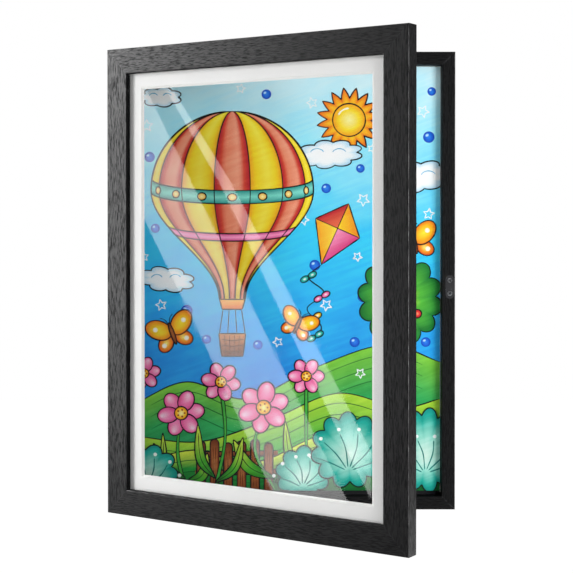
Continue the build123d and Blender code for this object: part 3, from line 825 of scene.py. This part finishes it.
def tree():
    """An apple tree: a brown trunk under a scalloped green crown with red apples."""
    motif = Motif("painted_tree", 7)
    left = through([(72, 50), (77, 78), (74, 112)], 40)
    right = through([(90, 50), (84, 78), (88, 112)], 40)
    motif.patch(left, right, [(0, "#5a2910"), (0.4, "#a8602f"), (1, "#6b3315")])
    motif.line(left).line(right)
    crown = lobed((80, 136), 30, 32, 12, 0.17, 5)
    motif.outlined(crown, [(0, "#b8dd3e"), (0.5, "#4fb338"), (1, "#0c7432")], layer=2)
    apple = [(0, "#ff8d66"), (0.5, "#e0302c"), (1, "#a50f20")]
    for spot in ((68, 128), (84, 148), (92, 126), (76, 152), (82, 118), (66, 146)):
        motif.outlined(ring(spot, 3.0, 3.0), apple, layer=4)
    motif.lay()


def stars_and_balls():
    """Blue balls with a pale gleam, and white stars drawn in outline, scattered over the sky."""
    motif = Motif("painted_balls_and_stars", 4)
    balls = [
        (-96, 236, 3.6), (-70, 128, 4.2), (28, 214, 3.4), (6, 244, 3.2), (52, 228, 3.0), (20, 160, 3.8),
        (54, 138, 4.0), (-92, 186, 3.2), (100, 250, 4.0), (100, 132, 4.4), (98, 106, 3.4),
        (-14, 280, 3.4), (48, 106, 3.6), (-56, 108, 3.2), (70, 200, 3.6), (-20, 104, 3.4),
        (66, 284, 3.2), (102, 282, 3.0),
    ]
    for u, v, size in balls:
        motif.blob(ring((u, v), size, size, count=40), [(0, "#2f86ec"), (0.6, "#1c63da"), (1, "#1040b4")])
        gleam = ring((u - size * 0.3, v + size * 0.32), size * 0.34, size * 0.26, 30, 24)
        motif.blob(gleam, [(0, "#d8f1ff"), (1, "#5fb0f4")], layer=1)
    stars = [
        (-98, 258, 4.4), (18, 274, 4.0), (54, 206, 4.6), (12, 192, 4.0), (-92, 210, 3.6), (-88, 132, 4.0),
        (28, 132, 4.2), (96, 268, 4.4), (100, 196, 4.0), (98, 152, 3.8), (72, 262, 4.0), (50, 166, 3.4),
        (-32, 284, 3.4), (-100, 166, 3.4), (-6, 106, 3.6), (52, 84, 3.6), (60, 242, 3.0),
    ]
    tips = ring((0, 0), 1, 1, 90, 10) * np.where(np.arange(11) % 2, 0.46, 1.0)[:, None]
    edges = [np.linspace(start, end, 8)[:-1] for start, end in zip(tips[:-1], tips[1:])]
    star = np.vstack([*edges, tips[:1]])
    for index, (u, v, size) in enumerate(stars):
        motif.line(spun(star * size, (u, v), 17 * index), 0.7, "#f4fdff", layer=0)
    motif.lay()


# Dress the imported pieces

def dress(names, material):
    """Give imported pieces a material."""
    for name in names:
        slots = nodes[name].data.materials
        slots.clear()
        slots.append(material)


grain_step = 73 * MM
for body, lie in (("box", box_lie), ("door", door_lie)):
    for index, side in enumerate(sides):
        given = (lie, side.startswith("rail"), (index + 1) * grain_step)
        name = f"{body}_{side}"
        dress([name], finish_of(f"black_open_pored_foil_{name}", black_woodgrain, *given))

rolled, tumbled = (6 * MM, 0.2 * MM, 0.2 * MM), (0.3 * MM, 0.3 * MM, 0.3 * MM)
zinc = finish_of("bright_zinc_plate", plated, "#d3d7dc", "#a9aeb6", 0.26, rolled)
dress(
    [
        "box_corner_nails", "back_panel_staples", "hanger_upright", "hanger_sideways", "hanger_rivets",
        "upper_hinge_pin", "lower_hinge_pin", "hinge_screws_box", "hinge_screws_door",
        "door_corner_nails", "retaining_points",
    ],
    zinc,
)
dull_zinc = finish_of("black_passivated_zinc", plated, "#c6c8cb", "#7c7e82", 0.32, tumbled)
dress(["keeper_screws"], dull_zinc)
dress(["door_magnet"], finish_of("bright_nickel_plate", plated, "#dcd8cf", "#bdb8ac", 0.18, tumbled))
dress(
    [
        "keeper_plate", "upper_hinge_box_leaf", "lower_hinge_box_leaf", "upper_hinge_door_leaf",
        "lower_hinge_door_leaf",
    ],
    finish_of("black_stove_lacquer_on_steel", black_lacquer),
)
dress(["back_panel"], finish_of("dark_pressed_hardboard", hardboard))
dress(["mat"], finish_of("white_cotton_mat_board", mat_board))
dress(["stored_drawings"], finish_of("white_drawing_paper", stacked_paper))
dress(["drawing_on_show"], finish_of("watercolour_wash_on_paper", painted_sheet))


pane_gap = 0.02 * MM


def clear_pane():
    """The pane, a slab whose back is drawn in by a gap. In the model it touches the mat, and a ray
    would take their two faces for one. A corner is low + (high - low) (i, j, k), each 0 or 1, in the
    door's own axes."""
    corners = turned_back(points_of(["acrylic_pane"]), door_turn)
    low, high = corners.min(0), corners.max(0)
    high[1] -= pane_gap
    place = turned_back(low + (high - low) * np.array(list(np.ndindex(2, 2, 2))), -door_turn)
    faces = [(0, 1, 3, 2), (4, 6, 7, 5), (0, 4, 5, 1), (2, 3, 7, 6), (0, 2, 6, 4), (1, 5, 7, 3)]
    piece = piece_of("clear_pane", place, faces, finish_of("cast_clear_acrylic", clear_acrylic))
    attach(piece, "door")
    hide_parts("acrylic_pane")


clear_pane()

marker_material = finish_of("marker_pen_on_paper", marker_pen)
for paint_motif in (
    hills, sun, clouds, kite, hot_air_balloon, tree, stars_and_balls, fence, flowers, bushes, butterflies,
):
    paint_motif()


# Camera, at the photograph's place. It looks along +Y, pitched down a little.

photo_side = 573.0
photo_focal = 1372.4
photo_centre = (289.9, 235.3)
camera_place = Vector((2.5, -975.7, -99.6)) * MM
camera_pitch = math.radians(0.555)

camera_data = bpy.data.cameras.new("camera")
camera_data.sensor_width = 36.0
camera_data.lens = camera_data.sensor_width * photo_focal / photo_side
camera_data.shift_x = (photo_side / 2 - photo_centre[0]) / photo_side
camera_data.shift_y = (photo_centre[1] - photo_side / 2) / photo_side
camera_data.clip_start = 0.01
camera = bpy.data.objects.new("camera", camera_data)
camera.location = camera_place
camera.rotation_euler = Euler((math.pi / 2 - camera_pitch, 0, 0))
bpy.context.scene.collection.objects.link(camera)
bpy.context.scene.camera = camera


# Studio

def sheet_of(name, corners, material):
    """A flat sheet with the given corners, which is part of the studio."""
    piece = piece_of(name, corners, [list(range(len(corners)))], material)
    return piece


def only_mirrored(piece):
    """A sheet that shows in shine and in the pane alone, and neither lights nor shades."""
    piece.visible_camera = False
    piece.visible_diffuse = False
    piece.visible_shadow = False
    piece.visible_transmission = False


def glow(tree, colour, strength):
    """A plain glow."""
    return add(tree, "Emission", {"Color": colour, "Strength": strength})


floor_glow = 0.78


def floor_paint(tree):
    """White studio floor, matt. Seen by the camera it also glows, so that it meets the white
    backdrop and still keeps the object's shadow."""
    matt = add(tree, "BsdfDiffuse", {"Color": "#e9e9e8"})
    seen = add(tree, "LightPath", output="Is Camera Ray")
    strength = add(tree, "MapRange", (seen, 0.0, 1.0, 0.0, floor_glow))
    return add(tree, "AddShader", (matt, add(tree, "Emission", {"Strength": strength})))


floor_drop, floor_reach = 1.1, 9.0
floor_z = cad_low.z - floor_drop
floor_corners = [
    (x * floor_reach, y * floor_reach, floor_z) for x, y in ((-1, -1), (1, -1), (1, 1), (-1, 1))
]
sheet_of("floor", floor_corners, finish_of("white_studio_floor", floor_paint))

world = bpy.data.worlds.new("studio")
bpy.context.scene.world = world
world.use_nodes = True
world_tree = world.node_tree
world_tree.nodes.clear()
room = add(world_tree, "Background", {"Color": "#ffffff", "Strength": 0.3})
backdrop = add(world_tree, "Background", {"Color": "#ffffff", "Strength": 1.0})
looked_at = 0.0
for kind in ("Is Camera Ray", "Is Glossy Ray", "Is Transmission Ray"):
    ray = add(world_tree, "LightPath", output=kind)
    looked_at = add(world_tree, "Math", (looked_at, ray), operation="MAXIMUM")
sky = add(world_tree, "MixShader", (looked_at, room, backdrop))
add(world_tree, "OutputWorld", {"Surface": sky})

frame_middle = (cad_low + cad_high) / 2


def softbox(name, place, aim, wide, tall, radiance, mirrored=True, matt=True):
    """A rectangular area lamp. Its power is radiance times pi times its area. One that isn't mirrored
    lights matt surfaces alone, because the photographed pane shows no lamp but its two streaks. One
    that isn't matt is seen in shine alone."""
    data = bpy.data.lights.new(name, "AREA")
    data.shape = "RECTANGLE"
    data.size, data.size_y = wide, tall
    data.energy = radiance * math.pi * wide * tall
    lamp = bpy.data.objects.new(name, data)
    lamp.location = place
    lamp.visible_glossy = mirrored
    lamp.visible_diffuse = matt
    lamp.rotation_euler = (Vector(aim) - Vector(place)).to_track_quat("-Z", "Y").to_euler()
    bpy.context.scene.collection.objects.link(lamp)


low_middle = frame_middle + Vector((0.08, -0.07, -0.14))
softbox("shine_high", (-0.98, -0.09, 0.30), frame_middle, 0.34, 0.5, 14.2, matt=False)
softbox("shine_low", (-0.98, -0.09, -0.15), frame_middle, 0.34, 0.5, 6.0, matt=False)
softbox("matt_high", (-0.80, -0.28, 0.20), frame_middle, 0.3, 0.36, 10.3, mirrored=False)
softbox("matt_low", (-0.80, -0.28, -0.34), frame_middle, 0.3, 0.36, 9.4, mirrored=False)
softbox("matt_front", (0.30, -1.5, -0.1), frame_middle, 0.6, 0.8, 0.8, mirrored=False)
softbox("matt_right", (0.72, -0.95, -0.15), frame_middle, 0.5, 0.6, 10.4, mirrored=False)
softbox("side_right", (0.62, -0.40, -0.12), frame_middle, 0.3, 0.5, 10.8, matt=False)
softbox("foot_right", (0.74, 0.22, -0.62), low_middle, 0.25, 0.3, 2.6)
softbox("fill_back", (0.7, 1.6, 0.8), frame_middle, 1.0, 0.8, 2.0)


# Dark cards, which keep the black foil and the pane deep, as a studio's black flags do

flag_reach, flag_top = 1.5, 2.6
black_card = finish_of("black_flag", glow, "#29292b", 1.0)


def dark_arc(name, first, last, foot_height):
    """A dark band that stands round the frame: an arc between two angles, up from a height. Angles
    are in degrees from +X."""
    angle = np.radians(np.linspace(first, last, 25))
    round_it = np.column_stack((np.cos(angle), np.sin(angle))) * flag_reach
    count = len(angle)
    foot = np.column_stack((round_it, np.full(count, foot_height)))
    top = np.column_stack((round_it, np.full(count, flag_top)))
    start = np.arange(count - 1)
    faces = np.column_stack((start, start + 1, start + 1 + count, start + count))
    piece = piece_of(name, np.vstack((foot, top)), faces.tolist(), black_card)
    only_mirrored(piece)


dark_arc("black_flag_front", -190.0, -20.0, -0.95)
dark_arc("black_flag_right", -20.0, 40.0, -0.5)


# The two long lamps that the pane mirrors. Their corners are where the photograph shows the streaks.

pane_front = turned_back(points_of(["acrylic_pane"]), door_turn)[:, 1].min()
pane_point = Vector(turned_back(np.array([[0.0, pane_front, 0.0]]), -door_turn)[0])
lamp_reach = 0.5
streak_glow = 2.5


def mirrored_at(pixel):
    """The point that the pane mirrors at a pixel of the photograph, a set way out from the pane: the
    camera's ray r meets the pane and leaves it as r - 2 (r . n) n."""
    across = (pixel[0] - photo_centre[0]) / photo_focal
    down = (pixel[1] - photo_centre[1]) / photo_focal
    ray = Vector((across, 1.0, -down))
    ray.rotate(Euler((-camera_pitch, 0, 0)))
    way = (pane_point - camera_place).dot(door_front) / ray.dot(door_front)
    hit = camera_place + ray * way
    out = ray - 2 * ray.dot(door_front) * door_front
    return hit + out * (lamp_reach / out.dot(door_front))


wide_streak = [
    (143.6, 90.3), (146.2, 90.1), (190.0, 180.0), (347.5, 502.5), (272.0, 493.0), (207.0, 350.0),
    (143.2, 218.0),
]
narrow_streak = [
    (165.0, 88.8), (171.5, 88.4), (229.0, 180.0), (307.8, 330.0), (370.8, 452.0), (370.6, 500.0),
    (288.8, 330.0), (217.6, 180.0),
]
for name, pixels in (("wide_lamp", wide_streak), ("narrow_lamp", narrow_streak)):
    corners = [mirrored_at(pixel) for pixel in pixels]
    only_mirrored(sheet_of(name, corners, finish_of(name, glow, "#ffffff", streak_glow)))


bpy.context.scene.view_settings.view_transform = "Standard"
